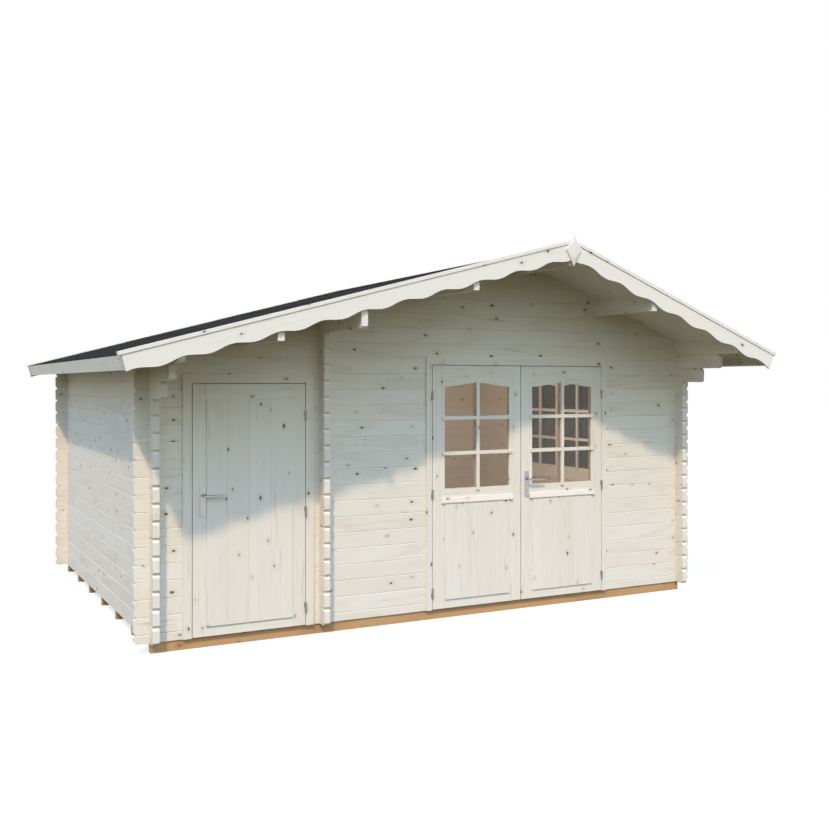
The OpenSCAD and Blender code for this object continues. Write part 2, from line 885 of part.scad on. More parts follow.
// Handle outside and inside the door on one spindle
module handle(x) {
    arm_y = [door_y[0] - lever_plate_t - lever_out, door_y[1] + lever_plate_t + lever_out];
    translate([x, arm_y[0], lever_z])
        rotate([-90, 0, 0]) cylinder(h = door_y[0] - lever_seat - arm_y[0], r = neck_r);
    translate([x, door_y[1] + lever_seat, lever_z])
        rotate([-90, 0, 0]) cylinder(h = arm_y[1] - door_y[1] - lever_seat, r = neck_r);
    translate([x, door_y[0] - lever_seat - 1, lever_z])
        rotate([-90, 0, 0]) cylinder(h = door_t + 2 * lever_seat + 2, r = spindle_r);
    for (y = arm_y)
        translate([x - lever_r, y, lever_z])
            rotate([0, 90, 0]) cylinder(h = lever_l + lever_r, r = lever_r);
}

module store_handle_plates() {
    color(steel) handle_plates(store_lever_x);
}

module store_handle() {
    color(steel) handle(store_lever_x);
}

module room_handle_plates() {
    color(steel) handle_plates(room_lever_x);
}

module room_handle() {
    color(steel) handle(room_lever_x);
}

module window_frame() {
    color(wood)
        difference() {
            block(window_x, [window_y0, window_y1], [window_z, window_z + window_h]);
            block([window_x[0] - 1, window_x[1] + 1],
                [window_y0 + window_frame_w, window_y1 - window_frame_w], sash_z);
        }
}

module window_pane(x, y) {
    upright_yz(x, arched_outline(y[0] + casement_stile_w, y[1] - casement_stile_w,
        sash_z[0] + casement_rail_h, sash_z[1] - casement_top_h));
}

module window_casements() {
    color(wood)
        for (y = sash_ys)
            difference() {
                block(casement_x, y, sash_z);
                window_pane([casement_x[0] - 1, casement_x[1] + 1], y);
            }
}

module window_glass() {
    color("lightblue", 0.4)
        for (y = sash_ys)
            window_pane(window_glass_x, y);
}

cabin_frame() foundation_beams();
cabin_frame() floor_boards();
cabin_frame() left_wall();
cabin_frame() right_wall();
cabin_frame() partition_wall();
cabin_frame() front_wall_store();
cabin_frame() front_wall_room();
cabin_frame() front_gable_store();
cabin_frame() front_gable_room();
cabin_frame() back_wall_store();
cabin_frame() back_wall_room();
cabin_frame() corner_log_ends();
cabin_frame() roof_purlins();
cabin_frame() roof_deck_left();
cabin_frame() roof_deck_right();
cabin_frame() roof_felt();
cabin_frame() eave_boards();
cabin_frame() front_gable_board_left();
cabin_frame() front_gable_board_right();
cabin_frame() back_gable_boards();
cabin_frame() cover_strips_left();
cabin_frame() cover_strips_right();
cabin_frame() ridge_diamond();
cabin_frame() store_door_frame();
cabin_frame() room_door_frame();
cabin_frame() door_hinge_pins();
cabin_frame() window_frame();
cabin_frame() window_casements();
cabin_frame() window_glass();
cabin_frame() store_door();
cabin_frame() store_door_panel();
cabin_frame() store_door_hinges();
cabin_frame() store_handle_plates();
cabin_frame() store_handle();
cabin_frame() room_door_left();
cabin_frame() room_door_left_panel();
cabin_frame() room_door_left_glass();
cabin_frame() room_door_left_weather_bar();
cabin_frame() room_door_left_hinges();
cabin_frame() room_door_right();
cabin_frame() room_door_right_panel();
cabin_frame() room_door_right_glass();
cabin_frame() room_door_right_weather_bar();
cabin_frame() room_door_right_hinges();
cabin_frame() room_handle_plates();
cabin_frame() room_handle();
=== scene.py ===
"""Looks of the garden cabin: planed spruce logs, boarded and glazed doors, felt roof."""

import math
import random

import bmesh
import bpy
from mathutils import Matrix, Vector


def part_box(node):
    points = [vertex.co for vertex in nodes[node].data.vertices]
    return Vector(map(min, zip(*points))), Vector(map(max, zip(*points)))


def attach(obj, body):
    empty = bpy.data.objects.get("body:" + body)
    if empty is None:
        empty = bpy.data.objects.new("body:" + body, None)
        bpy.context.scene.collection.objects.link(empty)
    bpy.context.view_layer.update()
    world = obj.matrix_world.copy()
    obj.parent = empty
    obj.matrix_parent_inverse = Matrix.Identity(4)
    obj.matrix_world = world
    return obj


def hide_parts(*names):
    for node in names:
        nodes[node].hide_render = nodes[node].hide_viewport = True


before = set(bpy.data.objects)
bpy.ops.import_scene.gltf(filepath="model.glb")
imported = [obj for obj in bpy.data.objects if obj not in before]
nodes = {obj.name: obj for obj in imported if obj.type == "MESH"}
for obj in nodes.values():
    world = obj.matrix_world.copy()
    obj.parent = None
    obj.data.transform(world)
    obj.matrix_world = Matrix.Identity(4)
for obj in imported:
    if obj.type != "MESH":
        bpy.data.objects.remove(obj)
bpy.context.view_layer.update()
scene = bpy.context.scene

# Axes of the part
X, Y, Z = Vector((1, 0, 0)), Vector((0, 1, 0)), Vector((0, 0, 1))

# Sizes that the boxes of the CAD nodes don't give, in metres
LOG_PITCH = 0.115
ROOF_PITCH = {"left": math.radians(15.1), "right": math.radians(21.7)}
DOOR_GAP = 0.005
STOP_WIDTH = 0.020
SILL_HEIGHT = 0.020
ARCH_RISE = 0.031
PANE_FRAME = 0.052
BAR_WIDTH = 0.028
BAR_DEPTH = 0.011
BAR_REACH = 0.022
BAR_STEP = 0.004
GLASS_HALF = 0.0023
PLANK_PITCH = 0.155
ROOF_BOARD_PITCH = 0.090
FLOOR_BOARD_PITCH = 0.095
GROOVE = 0.003
FLOOR_GROOVE = 0.002
FIRST_JOINT = {"store": 0.142, "left": 0.134, "right": 0.089}
LEAST_PANEL_PLANK = 0.020
LEAST_BOARD = 0.030
CASEMENT_GAP = 0.004
FELT_THICK = 0.003
FELT_LAP = 0.0022
FELT_STRIP = 0.92
STRIP_ROUND = 0.0035
BAR_ROUND = 0.003
LEVER_RADIUS = 0.009
LEVER_BEND = 0.020
NECK_RADIUS = 0.0074
ARM_RADIUS = 0.0084
LEVER_SEAT = 0.0005
LOCK_DOWN = 0.072
LOCK_RADIUS = 0.0092
LOCK_PROUD = 0.0004
LOCK_SUNK = 0.004

# Wood: cells that hold a knot, per metre along and across, and the knots' sizes in cells
KNOT_CELLS = (4.4, 7.0)
KNOT_SIZES = (0.020, 0.068)
RING_PITCH = 0.0042
PITH_SWING = 0.055
PITH_WANDER = 0.016
FIBRES_ALONG = 3.2
FIBRES_ACROSS = 64.0
TRIM_SEED = 0.37

# Camera
CAMERA_PLACE = (-3.7893, -8.584, 1.7817)
CAMERA_TURN = math.radians(-29.519)
CAMERA_LENS = 45.992
CAMERA_SHIFT = (-0.0788, -0.0364)

# Light
SUN_PATH = Vector((0.70, 1.0, -1.46))
SUN_STRENGTH = 2.45
SUN_COLOR = (1.0, 0.785, 0.56)
SUN_SIZE = math.radians(2.4)
SKY_LOW = (0.78, 0.84, 0.62, 1)
SKY_HIGH = (0.40, 0.90, 1.95, 1)
FRONT_WAY = (0.10, -0.995, 0.0)
FRONT_HIGH = (1.80, 1.90, 2.00, 1)
FLOOR_DIM = (0.050, 0.042, 0.010, 1)
FLOOR_LIT = (0.37, 0.31, 0.26, 1)
LAMP_COLOR = (1.0, 0.80, 0.60)
LAMP_POWER = 12.0
LAMP_SIZE = 0.25
WINDOW_LAMP_COLOR = (1.0, 0.98, 0.97)
WINDOW_LAMP_POWER = 8.0
FLOOR_GLOW = 0.74
FLOOR_REACH = 60.0


# ---------------------------------------------------------------- shader helpers

def put(tree, target, value):
    """Links a socket to an input, or sets the input."""
    if isinstance(value, bpy.types.NodeSocket):
        tree.links.new(value, target)
    else:
        target.default_value = value


def make(tree, kind, inputs=None, **settings):
    """A new node with its settings and inputs."""
    made = tree.nodes.new(kind)
    for name, value in settings.items():
        setattr(made, name, value)
    for key, value in (inputs or {}).items():
        put(tree, made.inputs[key], value)
    return made


class Maths:
    """Math nodes of one tree, written as calls."""

    def __init__(self, tree):
        self.tree = tree

    def __getattr__(self, operation):
        def call(a, b=0.0, c=0.0):
            made = make(self.tree, "ShaderNodeMath", {0: a, 1: b, 2: c},
                        operation=operation.upper())
            return made.outputs[0]
        return call

    def ramp(self, value, low, high, kind="SMOOTHSTEP"):
        """0 where value is low, 1 where it is high."""
        made = make(self.tree, "ShaderNodeMapRange", {0: value, 1: low, 2: high},
                    interpolation_type=kind)
        return made.outputs[0]

    def scaled(self, value, low, high, to_low, to_high):
        made = make(self.tree, "ShaderNodeMapRange",
                    {0: value, 1: low, 2: high, 3: to_low, 4: to_high})
        return made.outputs[0]

    def mix(self, factor, a, b):
        """Two colours mixed."""
        made = make(self.tree, "ShaderNodeMix", {0: factor, 6: a, 7: b}, data_type="RGBA")
        return made.outputs[2]

    def noise(self, vector, scale, detail=3.0, roughness=0.5):
        made = make(self.tree, "ShaderNodeTexNoise", {
            "Vector": vector, "Scale": scale, "Detail": detail, "Roughness": roughness})
        return made.outputs[0]

    def vector(self, x, y, z=0.0):
        return make(self.tree, "ShaderNodeCombineXYZ", {0: x, 1: y, 2: z}).outputs[0]

    def split(self, vector):
        return make(self.tree, "ShaderNodeSeparateXYZ", {0: vector}).outputs

    def place(self):
        return make(self.tree, "ShaderNodeTexCoord").outputs["Object"]

    def bump(self, shader, height, strength, distance):
        made = make(self.tree, "ShaderNodeBump",
                    {"Height": height, "Strength": strength, "Distance": distance})
        put(self.tree, shader.inputs["Normal"], made.outputs[0])


def material(name, **sockets):
    """A material with one Principled shader: (material, shader, maths)."""
    made = bpy.data.materials.new(name)
    made.use_nodes = True
    shader = made.node_tree.nodes["Principled BSDF"]
    for key, value in sockets.items():
        shader.inputs[key.replace("_", " ")].default_value = value
    return made, shader, Maths(made.node_tree)


# ---------------------------------------------------------------- wood

def rows(along, across, through, pitch, start):
    """Where a point lies in its own log or board of a stack: along, across, through, seed."""
    def place(m):
        parts = m.split(m.place())
        count = m.divide(m.subtract(parts[across], start), pitch)
        row = m.floor(count)
        middle = m.subtract(m.subtract(count, row), 0.5)
        seed = make(m.tree, "ShaderNodeTexWhiteNoise", {"W": row},
                    noise_dimensions="1D").outputs[0]
        return parts[along], m.multiply(middle, pitch), parts[through], seed
    return place


def sloped(side):
    """The same for one long board along a slope of the roof, as a single row."""
    def place(m):
        turn = -ROOF_PITCH[side] if side == "left" else ROOF_PITCH[side]
        turned = make(m.tree, "ShaderNodeMapping",
                      {"Vector": m.place(), "Rotation": (0, turn, 0)}, vector_type="TEXTURE")
        parts = m.split(turned.outputs[0])
        return parts[0], parts[2], parts[1], TRIM_SEED
    return place


def carried(m):
    """The same from the attributes that the scene's own boards carry."""
    place = make(m.tree, "ShaderNodeAttribute", attribute_name="board_place").outputs["Vector"]
    seed = make(m.tree, "ShaderNodeAttribute", attribute_name="board_seed").outputs["Fac"]
    parts = m.split(place)
    return parts[0], parts[1], parts[2], seed


def wood(name, place, pale, warm, ring, knot=(0.10, 0.075, 0.045, 1), knots=0.42,
         contrast=1.0, roughness=0.62):
    """Softwood cut from the round: growth rings about a pith outside the board, and knots."""
    made, shader, m = material(name, Roughness=roughness, Specular_IOR_Level=0.28)
    along, across, through, seed = place(m)
    shift = m.multiply(seed, 37.0)
    run = m.add(along, shift)
    flow = m.vector(m.multiply(run, 0.9), m.add(across, shift), through)

    # Knots, at most one in each cell of the face
    cell = m.vector(m.multiply(run, KNOT_CELLS[0]),
                    m.multiply(m.add(across, shift), KNOT_CELLS[1]))
    spots = make(m.tree, "ShaderNodeTexVoronoi", {"Vector": cell, "Scale": 1.0},
                 voronoi_dimensions="2D")
    chance = m.split(spots.outputs["Color"])[0]
    spread = m.scaled(chance, 1.0 - knots, 1.0, *KNOT_SIZES)
    there = m.greater_than(chance, 1.0 - knots)
    ragged = m.multiply(m.subtract(m.noise(flow, 60.0, 2.0), 0.5), 0.03)
    outside = m.subtract(m.add(spots.outputs["Distance"], ragged), spread)
    core = m.multiply(m.subtract(1.0, m.ramp(outside, -0.014, 0.006)), there)
    halo = m.multiply(m.subtract(1.0, m.ramp(outside, 0.0, 0.16)), there)

    # Growth rings, as circles about a pith that wanders
    drift = m.vector(m.multiply(run, 0.35), m.multiply(across, 0.8), shift)
    wander = m.multiply(m.subtract(m.noise(drift, 1.6, 2.0), 0.5), PITH_WANDER)
    pith = m.add(m.multiply(m.sine(shift), PITH_SWING), wander)
    tilt = m.multiply(m.multiply(m.subtract(seed, 0.5), 0.012), along)
    depth = m.add(m.subtract(through, pith), tilt)
    side = m.subtract(across, m.multiply(m.cosine(m.multiply(shift, 1.7)), 0.03))
    radius = m.sqrt(m.add(m.multiply(side, side), m.multiply(depth, depth)))
    radius = m.add(radius, m.multiply(halo, 0.006))
    radius = m.add(radius, m.multiply(m.noise(flow, 22.0), 0.002))
    phase = m.fract(m.divide(radius, RING_PITCH))
    late = m.multiply(m.ramp(phase, 0.45, 0.92), m.subtract(1.0, m.ramp(phase, 0.94, 1.0)))
    bands = m.noise(m.vector(m.multiply(run, 1.3), m.multiply(radius, 55.0), shift), 1.0)

    # Colour
    fibre = m.vector(m.multiply(run, FIBRES_ALONG), m.multiply(across, FIBRES_ACROSS),
                     m.multiply(through, FIBRES_ACROSS))
    streaks = m.noise(fibre, 1.0, 4.0, 0.6)
    patches = m.noise(m.vector(m.multiply(run, 1.7), m.multiply(across, 9.0), shift), 1.0, 2.0)
    base = m.mix(seed, pale, warm)
    base = m.mix(m.multiply(m.ramp(bands, 0.30, 0.85), 0.45 * contrast), base, warm)
    dark = m.multiply(late, m.multiply(m.ramp(bands, 0.3, 0.7), 0.26 * contrast))
    veins = m.multiply(m.ramp(streaks, 0.54, 0.74), m.ramp(patches, 0.38, 0.66))
    dark = m.add(dark, m.multiply(veins, 0.62 * contrast))
    base = m.mix(dark, base, ring)
    base = m.mix(m.multiply(halo, 0.35), base, ring)
    base = m.mix(m.multiply(core, 0.92), base, knot)
    put(m.tree, shader.inputs["Base Color"], base)
    m.bump(shader, m.add(m.multiply(late, 0.5), streaks), 0.35, 0.0007)
    return made


PALE = (0.822, 0.785, 0.705, 1)
WARM = (0.805, 0.740, 0.645, 1)
RING = (0.580, 0.490, 0.380, 1)
wall_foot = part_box("left_wall")[0].z

# One row that holds the whole cabin's height: its pitch and its start
ONE_ROW = (2.0, -1.0)

log_long = wood("log_wood_lengthwise", rows("Y", "Z", "X", LOG_PITCH, wall_foot),
                PALE, WARM, RING)
log_cross = wood("log_wood_crosswise",
                 rows("X", "Z", "Y", LOG_PITCH, wall_foot - LOG_PITCH / 2), PALE, WARM, RING)
joinery = wood("joinery_wood", carried, PALE, WARM, RING, knots=0.5)
trim_left = wood("trim_wood_left", sloped("left"), PALE, WARM, RING, knots=0.5, contrast=0.7)
trim_right = wood("trim_wood_right", sloped("right"), PALE, WARM, RING, knots=0.5, contrast=0.7)
trim_level = wood("trim_wood_level", rows("Y", "Z", "X", *ONE_ROW), PALE, WARM, RING,
                  knots=0.4)
roof_wood = wood("roof_board_wood", carried, PALE, WARM, RING)
floor_wood = wood("floor_board_wood", carried, (0.74, 0.63, 0.46, 1), (0.69, 0.57, 0.40, 1),
                  (0.50, 0.37, 0.22, 1))
beam_wood = wood("beam_wood", rows("X", "Z", "Y", *ONE_ROW), (0.62, 0.40, 0.21, 1),
                 (0.52, 0.29, 0.125, 1), (0.30, 0.165, 0.075, 1), contrast=1.5)


# ---------------------------------------------------------------- other materials

def felt_material():
    """Bitumen felt with fine mineral granules."""
    made, shader, m = material("felt", Roughness=0.95, Specular_IOR_Level=0.08)
    place = m.place()
    grains = make(m.tree, "ShaderNodeTexVoronoi", {"Vector": place, "Scale": 420.0})
    grain = m.split(grains.outputs["Color"])[0]
    base = m.mix(m.ramp(grain, 0.1, 1.0), (0.004, 0.005, 0.005, 1), (0.014, 0.017, 0.017, 1))
    cloud = m.ramp(m.noise(place, 2.3, 4.0), 0.35, 0.75)
    base = m.mix(m.multiply(cloud, 0.6), base, (0.007, 0.009, 0.009, 1))
    put(m.tree, shader.inputs["Base Color"], base)
    m.bump(shader, grains.outputs["Distance"], 0.5, 0.0012)
    return made


def metal_material(name, color, roughness, scale):
    """Metal with a fine brushed grain."""
    made, shader, m = material(name, Metallic=1.0, Base_Color=color)
    stretched = make(m.tree, "ShaderNodeMapping", {"Vector": m.place(), "Scale": (1, 1, 14)})
    brushed = m.noise(stretched.outputs[0], scale)
    put(m.tree, shader.inputs["Roughness"],
        m.scaled(brushed, 0.3, 0.7, roughness - 0.06, roughness + 0.10))
    m.bump(shader, brushed, 0.15, 0.0002)
    return made


def glass_material(name, color):
    """Float glass, slightly wavy and smeared."""
    made, shader, m = material(name, Base_Color=color, Transmission_Weight=1.0, IOR=1.45)
    place = m.place()
    put(m.tree, shader.inputs["Roughness"], m.scaled(m.noise(place, 14.0), 0.4, 0.9, 0.0, 0.05))
    m.bump(shader, m.noise(place, 3.0, 1.0), 0.02, 0.001)
    return made


felt = felt_material()
lever_steel = metal_material("lever_steel", (0.40, 0.42, 0.42, 1), 0.30, 300.0)
hinge_steel = metal_material("hinge_steel", (0.30, 0.30, 0.29, 1), 0.42, 220.0)
lock_brass = metal_material("lock_brass", (0.62, 0.47, 0.20, 1), 0.35, 300.0)
clear_glass = glass_material("door_glass", (0.90, 0.86, 0.80, 1))
# The side window's glass is tinted near black: painted shade that stands for a dim view beyond the
# window
painted_dark_glass = glass_material("window_glass_painted_dark", (0.015, 0.014, 0.010, 1))

DRESS = {
    log_long: ("left_wall", "right_wall", "partition_wall", "roof_purlins"),
    log_cross: ("front_wall_store", "front_wall_room", "front_gable_store", "front_gable_room",
                "back_wall_store", "back_wall_room", "corner_log_ends"),
    trim_left: ("front_gable_board_left", "cover_strips_left"),
    trim_right: ("front_gable_board_right", "cover_strips_right"),
    trim_level: ("eave_boards", "back_gable_boards"),
    beam_wood: ("foundation_beams",),
    hinge_steel: ("door_hinge_pins", "store_door_hinges", "room_door_left_hinges",
                  "room_door_right_hinges"),
    lever_steel: ("store_handle_plates", "room_handle_plates"),
    clear_glass: ("room_door_left_glass", "room_door_right_glass"),
    painted_dark_glass: ("window_glass",),
}
for made, names in DRESS.items():
    for name in names:
        nodes[name].data.materials.clear()
        nodes[name].data.materials.append(made)

for name in ("cover_strips_left", "cover_strips_right"):
    rounding = nodes[name].modifiers.new("rounding", "BEVEL")
    rounding.width = STRIP_ROUND
    rounding.segments = 3
    rounding.limit_method = "ANGLE"


# ---------------------------------------------------------------- boards

def span(low, high, **changed):
    """Two corners of a box with some of its sides changed, such as x0 or z1."""
    corners = {"x0": low[0], "y0": low[1], "z0": low[2], "x1": high[0], "y1": high[1],
               "z1": high[2]}
    corners.update(changed)
    return (Vector([corners[k + "0"] for k in "xyz"]), Vector([corners[k + "1"] for k in "xyz"]))


class Boards:
    """Boards joined into one piece, each with its own grain and seed."""

    def __init__(self, name, made, slot, body, replaced=(), edge=0.0009):
        self.name, self.material, self.slot = name, made, slot
        self.body, self.replaced, self.edge = body, replaced, edge
        self.mesh = bmesh.new()
        self.place = self.mesh.verts.layers.float_vector.new("board_place")
        self.seed = self.mesh.verts.layers.float.new("board_seed")
        self.random = random.Random(name)

    def prism(self, outline, depth, grain, across, edge=None):
        """An outline of points pushed by the vector depth; grain and across are directions."""
        board = bmesh.new()
        near = [board.verts.new(p) for p in outline]
        far = [board.verts.new(Vector(p) + depth) for p in outline]
        count = len(outline)
        board.faces.new(near)
        board.faces.new(far[::-1])
        for k in range(count):
            after = (k + 1) % count
            board.faces.new([near[k], far[k], far[after], near[after]])
        bmesh.ops.recalc_face_normals(board, faces=board.faces[:])
        self.add(board, grain, across, self.edge if edge is None else edge)

    def box(self, corners, grain, across, edge=None):
        low, high = corners
        outline = [(low.x, low.y, low.z), (high.x, low.y, low.z),
                   (high.x, high.y, low.z), (low.x, high.y, low.z)]
        self.prism(outline, Z * (high.z - low.z), grain, across, edge)

    def add(self, board, grain, across, edge):
        centre = sum((v.co for v in board.verts), Vector()) / len(board.verts)
        if edge:
            sharp = [e for e in board.edges if e.calc_face_angle(0) > 0.5]
            bmesh.ops.bevel(board, geom=sharp, offset=edge, segments=2, profile=0.6,
                            affect="EDGES", clamp_overlap=True)
        through = grain.cross(across)
        seed = self.random.random()
        made = {}
        for v in board.verts:
            away = v.co - centre
            made[v] = self.mesh.verts.new(v.co)
            made[v][self.place] = (away.dot(grain), away.dot(across), away.dot(through))
            made[v][self.seed] = seed
        for face in board.faces:
            self.mesh.faces.new([made[v] for v in face.verts])
        board.free()

    def finish(self):
        mesh = bpy.data.meshes.new(self.name)
        self.mesh.to_mesh(mesh)
        self.mesh.free()
        piece = bpy.data.objects.new(self.name, mesh)
        scene.collection.objects.link(piece)
        mesh.materials.append(self.material)
        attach(piece, self.body)
        self.slot
        if self.replaced:
            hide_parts(*self.replaced)
        return piece


def arch(a, b, side_z, count=24):
    """(across, z) points of an arched top from a to b, which swings up to its middle."""
    points = []
    for k in range(count + 1):
        t = 2 * k / count - 1
        points.append((a + (b - a) * k / count, side_z + ARCH_RISE * (1 + math.cos(math.pi * t)) / 2))
    return points


def planks(boards, low, high, cuts, run, lie, groove=GROOVE):
    """Upright or lying boards side by side, with a V groove at each joint on both faces."""
    axis = [abs(lie[k]) for k in range(3)].index(1)
    thick = [k for k in range(3) if k != axis and not abs(run[k])][0]
    length = 3 - axis - thick
    edges = [low[axis]] + [c for c in cuts if low[axis] < c < high[axis]] + [high[axis]]
    for a, b in zip(edges, edges[1:]):
        c = groove
        flat = [(a + c, low[thick]), (b - c, low[thick]), (b, low[thick] + c),
                (b, high[thick] - c), (b - c, high[thick]), (a + c, high[thick]),
                (a, high[thick] - c), (a, low[thick] + c)]
        outline = []
        for p, q in flat:
            point = [0, 0, 0]
            point[axis], point[thick], point[length] = p, q, low[length]
            outline.append(point)
        push = Vector()
        push[length] = high[length] - low[length]
        boards.prism(outline, push, run, lie, edge=0)


def steps(start, stop, pitch):
    """Places from start to stop, pitch apart."""
    count = int((stop - start) / pitch) + 1
    return [start + k * pitch for k in range(count)]


# ---------------------------------------------------------------- door frames

def door_frame(name, leaf_names):
    """Rebated side members and head, and a sill."""
    low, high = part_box(name)
    leaves = [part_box(n) for n in leaf_names]
    inner = (min(b[0].x for b in leaves) - DOOR_GAP, max(b[1].x for b in leaves) + DOOR_GAP)
    head_z = leaves[0][1].z + DOOR_GAP
    stop_y = leaves[0][1].y + DOOR_GAP
    boards = Boards(name + "_boards", joinery, "joinery_wood", "cabin", (name,))
    for outer, side, sign in ((low.x, inner[0], 1), (high.x, inner[1], -1)):
        stop = side + sign * STOP_WIDTH
        boards.prism([(outer, low.y, low.z), (side, low.y, low.z), (side, stop_y, low.z),
                      (stop, stop_y, low.z), (stop, high.y, low.z), (outer, high.y, low.z)],
                     Z * (high.z - low.z), Z, X)
    width = inner[1] - inner[0]
    boards.prism([(inner[0], low.y, head_z), (inner[0], low.y, high.z),
                  (inner[0], high.y, high.z), (inner[0], high.y, head_z - STOP_WIDTH),
                  (inner[0], stop_y, head_z - STOP_WIDTH), (inner[0], stop_y, head_z)],
                 X * width, X, Z)
    boards.box(span(low, high, x0=inner[0], x1=inner[1], y0=stop_y, z1=low.z + SILL_HEIGHT), X, Y)
    boards.finish()


door_frame("store_door_frame", ["store_door"])
door_frame("room_door_frame", ["room_door_left", "room_door_right"])


# ---------------------------------------------------------------- store door

def store_door():
    low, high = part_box("store_door")
    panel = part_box("store_door_panel")
    boards = Boards("store_door_boards", joinery, "joinery_wood", "store_door_leaf",
                    ("store_door",))
    boards.box(span(low, high, x1=panel[0].x), Z, X)
    boards.box(span(low, high, x0=panel[1].x), Z, X)
    boards.box(span(low, high, x0=panel[0].x, x1=panel[1].x, z0=panel[1].z), X, Z)
    boards.box(span(low, high, x0=panel[0].x, x1=panel[1].x, z1=panel[0].z), X, Z)
    boards.finish()
    boards = Boards("store_door_planks", joinery, "joinery_wood", "store_door_leaf",
                    ("store_door_panel",))
    cuts = steps(panel[0].x + FIRST_JOINT["store"], panel[1].x - LEAST_PANEL_PLANK, PLANK_PITCH)
    planks(boards, panel[0], panel[1], cuts, Z, X)
    boards.finish()


store_door()


# ---------------------------------------------------------------- glazed doors

def arched_rail(boards, a, b, side_z, top, depth0, depth1, upright=False):
    """A top rail with an arched underside; upright turns it into the YZ plane."""
    flat = arch(a, b, side_z) + [(b, top), (a, top)]
    if upright:
        outline = [(depth0, p, q) for p, q in flat]
        boards.prism(outline, X * (depth1 - depth0), Y, Z)
    else:
        outline = [(p, depth0, q) for p, q in flat]
        boards.prism(outline, Y * (depth1 - depth0), X, Z)


def bar_grid(name, body, faces, a, b, z0, side_z, axis):
    """Glazing bars on both faces of a leaf, each with a narrower core down to the glass."""
    boards = Boards(name, joinery, "joinery_wood", body, edge=BAR_ROUND)
    top = side_z + ARCH_RISE
    crossings = [z0 + (top - z0) * k / 3 for k in (1, 2)]
    middle = (a + b) / 2
    half = BAR_WIDTH / 2
    depth_axis = Y if axis == X else X
    centre = sum(faces) / 2

    def bar(across, heights, depths, grain, lie):
        low = axis * across[0] + Z * heights[0] + depth_axis * min(depths)
        high = axis * across[1] + Z * heights[1] + depth_axis * max(depths)
        boards.box((low, high), grain, lie)

    for face in faces:
        out = 1 if face > centre else -1
        depths = (face, face + out * BAR_DEPTH)
        core = (face, centre + out * GLASS_HALF)
        for low_z, high_z in zip([z0 - BAR_REACH] + [c + half for c in crossings],
                                 [c - half for c in crossings] + [top + BAR_REACH]):
            bar((middle - half, middle + half), (low_z, high_z), depths, Z, axis)
        thin = half - BAR_STEP
        for low_z, high_z in zip([z0] + [c + thin for c in crossings],
                                 [c - thin for c in crossings] + [top]):
            bar((middle - thin, middle + thin), (low_z, high_z), core, Z, axis)
        for c in crossings:
            bar((a - BAR_REACH, b + BAR_REACH), (c - half, c + half), depths, axis, Z)
            bar((a, b), (c - thin, c + thin), core, axis, Z)
    boards.finish()


def room_door(side):
    name = "room_door_" + side
    body = name + "_leaf"
    low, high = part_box(name)
    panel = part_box(name + "_panel")
    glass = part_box(name + "_glass")
    inner = {"x0": panel[0].x, "x1": panel[1].x}
    boards = Boards(name + "_boards", joinery, "joinery_wood", body, (name,))
    boards.box(span(low, high, x1=panel[0].x), Z, X)
    boards.box(span(low, high, x0=panel[1].x), Z, X)
    boards.box(span(low, high, z1=panel[0].z, **inner), X, Z)
    boards.box(span(low, high, z0=panel[1].z, z1=glass[0].z, **inner), X, Z)
    arched_rail(boards, panel[0].x, panel[1].x, glass[1].z - ARCH_RISE, high.z, low.y, high.y)
    boards.finish()
    boards = Boards(name + "_planks", joinery, "joinery_wood", body, (name + "_panel",))
    cuts = steps(panel[0].x + FIRST_JOINT[side], panel[1].x - LEAST_PANEL_PLANK, PLANK_PITCH)
    planks(boards, panel[0], panel[1], cuts, Z, X)
    boards.finish()
    bar_grid(name + "_bars", body, (low.y, high.y), glass[0].x, glass[1].x, glass[0].z,
             glass[1].z - ARCH_RISE, X)
    low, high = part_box(name + "_weather_bar")
    slope = (high.z - low.z) / 6
    boards = Boards(name + "_drip_bar", joinery, "joinery_wood", body,
                    (name + "_weather_bar",))
    boards.prism([(low.x, high.y, low.z), (low.x, high.y, high.z),
                  (low.x, high.y - slope, high.z), (low.x, low.y, low.z + slope),
                  (low.x, low.y, low.z)], X * (high.x - low.x), X, Z, edge=BAR_ROUND)
    boards.finish()


room_door("left")
room_door("right")


# ---------------------------------------------------------------- side window

def side_window():
    low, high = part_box("window_frame")
    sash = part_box("window_casements")
    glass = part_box("window_glass")
    boards = Boards("window_frame_boards", joinery, "joinery_wood", "cabin", ("window_frame",))
    boards.box(span(low, high, y1=sash[0].y), Z, Y)
    boards.box(span(low, high, y0=sash[1].y), Z, Y)
    boards.box(span(low, high, y0=sash[0].y, y1=sash[1].y, z1=sash[0].z), Y, Z)
    boards.box(span(low, high, y0=sash[0].y, y1=sash[1].y, z0=sash[1].z), Y, Z)
    boards.finish()
    low, high = sash
    middle = (low.y + high.y) / 2
    gap = CASEMENT_GAP / 2
    boards = Boards("window_casement_boards", joinery, "joinery_wood", "cabin",
                    ("window_casements",))
    side_z = glass[1].z - ARCH_RISE
    for y0, y1, name in ((low.y, middle - gap, "front"), (middle + gap, high.y, "back")):
        a, b = y0 + PANE_FRAME, y1 - PANE_FRAME
        boards.box(span(low, high, y0=y0, y1=a), Z, Y)
        boards.box(span(low, high, y0=b, y1=y1), Z, Y)
        boards.box(span(low, high, y0=a, y1=b, z1=glass[0].z), Y, Z)
        arched_rail(boards, a, b, side_z, high.z, low.x, high.x, upright=True)
        bar_grid("window_bars_" + name, "cabin", (low.x, high.x), a, b, glass[0].z, side_z, Y)
    boards.finish()


side_window()


# ---------------------------------------------------------------- roof

